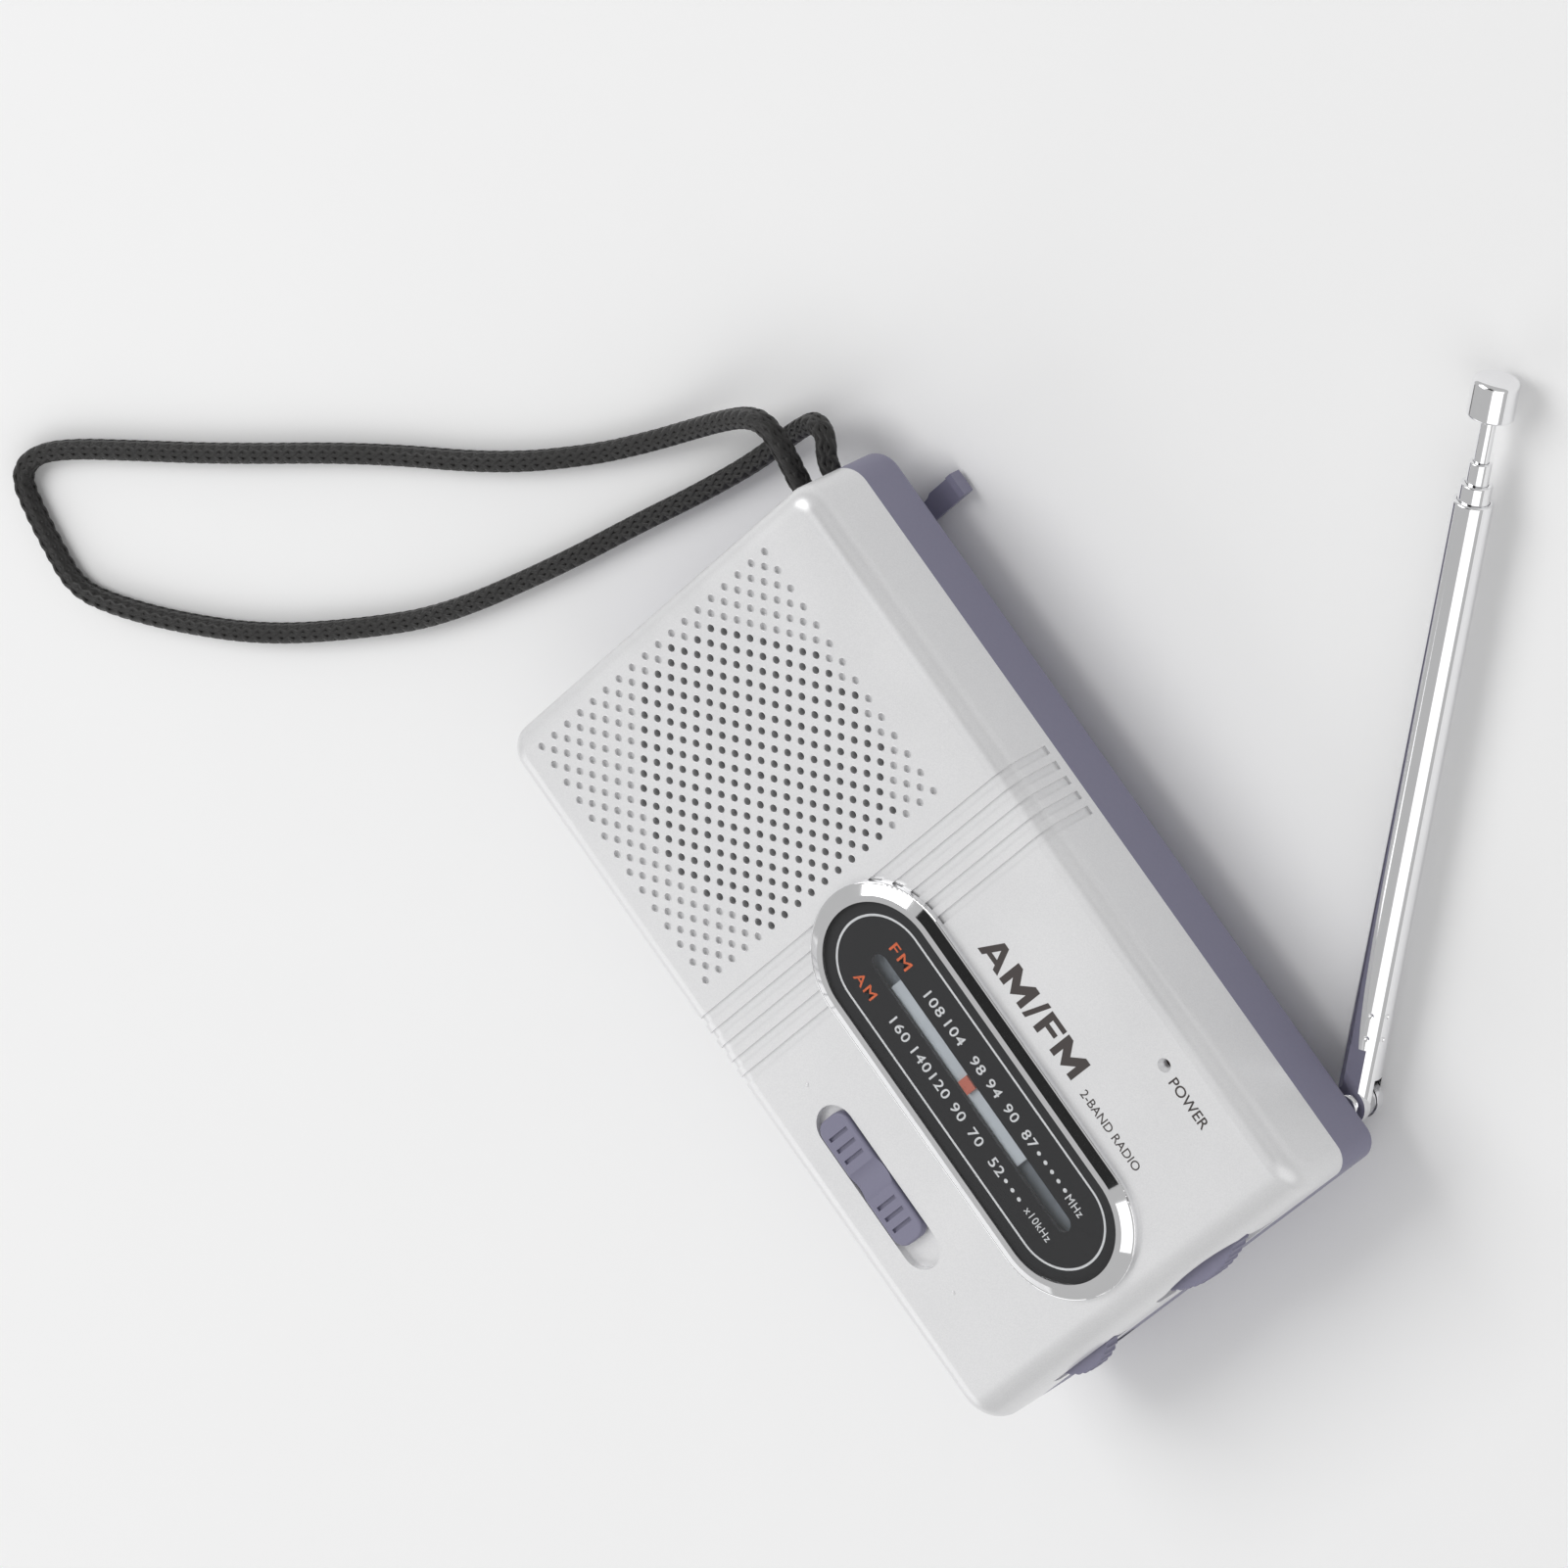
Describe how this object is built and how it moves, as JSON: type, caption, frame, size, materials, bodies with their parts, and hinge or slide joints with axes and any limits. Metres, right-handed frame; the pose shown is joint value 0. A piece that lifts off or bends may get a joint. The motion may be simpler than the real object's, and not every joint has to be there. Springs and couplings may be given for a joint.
{
  "type": "pocket radio",
  "caption": "Flat pocket radio lying on its back: speaker grille, oval dial with a cord-driven pointer, two thumbwheels, band slider, folding telescopic antenna and wrist cord.",
  "frame": {"origin": "middle of the case plan, on the plane of the back", "axes": "+Z out of the front face, +X towards the thumbwheel end, +Y towards the side with the antenna"},
  "size_m": [0.203, 0.2294, 0.0292],
  "materials": {
    "silver": "satin silver with a fine sparkle",
    "lavender": "satin lavender grey",
    "bezel_metal": "bright plated",
    "scale_black": "matt black print",
    "clear": "clear gloss",
    "strip_grey": "matt grey",
    "orange": "gloss orange",
    "black_plastic": "matt black",
    "white_plastic": "matt white",
    "led_red": "clear red",
    "steel": "plated steel",
    "antenna_metal": "bright plated",
    "brass": "plain brass",
    "board": "brown laminate",
    "ferrite": "dark matt ceramic",
    "copper_wire": "enamelled wire",
    "magnet": "dark ferrite",
    "cone_paper": "pulp paper",
    "felt": "felt",
    "cell_wrap": "plain printed sleeve",
    "cord": "black braid"
  },
  "bodies": {
    "case": {"front_shell": "silver", "back_cover": "lavender", "case_screws": "steel", "dial_bezel": "bezel_metal", "dial_scale": "scale_black", "dial_lens": "clear", "pointer_guide": "white_plastic", "dial_cord": "felt", "dial_cord_post": "white_plastic", "tuning_capacitor": "white_plastic", "volume_control": "black_plastic", "volume_wheel_screw": "steel", "band_switch_body": "steel", "power_led": "led_red", "speaker_gasket": "felt", "speaker_basket": "steel", "speaker_magnet": "magnet", "speaker_cone": "cone_paper", "circuit_board": "board", "board_screws": "steel", "ferrite_rod": "ferrite", "aerial_coil": "copper_wire", "coil_cans": "steel", "radio_chip": "black_plastic", "smoothing_capacitors": "black_plastic", "earphone_jack": "black_plastic", "battery_cell_low": "cell_wrap", "battery_cell_high": "cell_wrap", "battery_contacts_left": "steel", "battery_contacts_right": "steel", "battery_springs": "steel", "antenna_lug": "steel", "antenna_lug_screw": "steel", "cord_anchor": "lavender", "wrist_cord": "cord"},
    "tuning": {"tuning_wheel": "lavender", "tuning_shaft": "brass", "tuning_wheel_screw": "steel"},
    "pointer": {"pointer_strip": "strip_grey", "pointer_mark": "orange"},
    "volume": {"volume_wheel": "lavender"},
    "band_slider": {"band_knob": "lavender", "band_switch_slider": "black_plastic"},
    "battery_lid": {"battery_door": "lavender"},
    "antenna_base": {"antenna_fork": "antenna_metal", "antenna_rivet": "antenna_metal", "antenna_tube_1": "antenna_metal"},
    "antenna_second": {"antenna_tube_2": "antenna_metal"},
    "antenna_third": {"antenna_tube_3": "antenna_metal"},
    "antenna_inner": {"antenna_rod": "antenna_metal", "antenna_tip": "antenna_metal"}
  },
  "joints": [
    {"name": "antenna_fold", "type": "hinge", "parent": "case", "child": "antenna_base", "pos_m": [0.0515, 0.0333, 0.0041], "axis": [0, 0, 1], "range_deg": [-126.3, 53.7]},
    {"name": "antenna_pull_1", "type": "slide", "parent": "antenna_base", "child": "antenna_second", "axis": [-0.592, 0.8059, 0], "range_m": [0, 0.066]},
    {"name": "antenna_pull_2", "type": "slide", "parent": "antenna_second", "child": "antenna_third", "axis": [-0.592, 0.8059, 0], "range_m": [0, 0.066]},
    {"name": "antenna_pull_3", "type": "slide", "parent": "antenna_third", "child": "antenna_inner", "axis": [-0.592, 0.8059, 0], "range_m": [0, 0.066]},
    {"name": "tuning_turn", "type": "hinge", "parent": "case", "child": "tuning", "pos_m": [0.0454, 0.0106, 0.0218], "axis": [0, 0, 1], "range_deg": [-86, 86]},
    {"name": "pointer_slide", "type": "slide", "parent": "case", "child": "pointer", "axis": [1, 0, 0], "range_m": [-0.01135, 0.01165]},
    {"name": "volume_turn", "type": "hinge", "parent": "case", "child": "volume", "pos_m": [0.0527, -0.0158, 0.0215], "axis": [0, 0, 1], "range_deg": [0, 280]},
    {"name": "band_slide", "type": "slide", "parent": "case", "child": "band_slider", "axis": [1, 0, 0], "range_m": [0, 0.0036]},
    {"name": "battery_lid_slide", "type": "slide", "parent": "case", "child": "battery_lid", "axis": [0, -1, 0], "range_m": [0, 0.025]}
  ],
  "couplings": [
    {"joint": "pointer_slide", "follows": "tuning_turn", "m_per_rad": 0.0075}
  ]
}
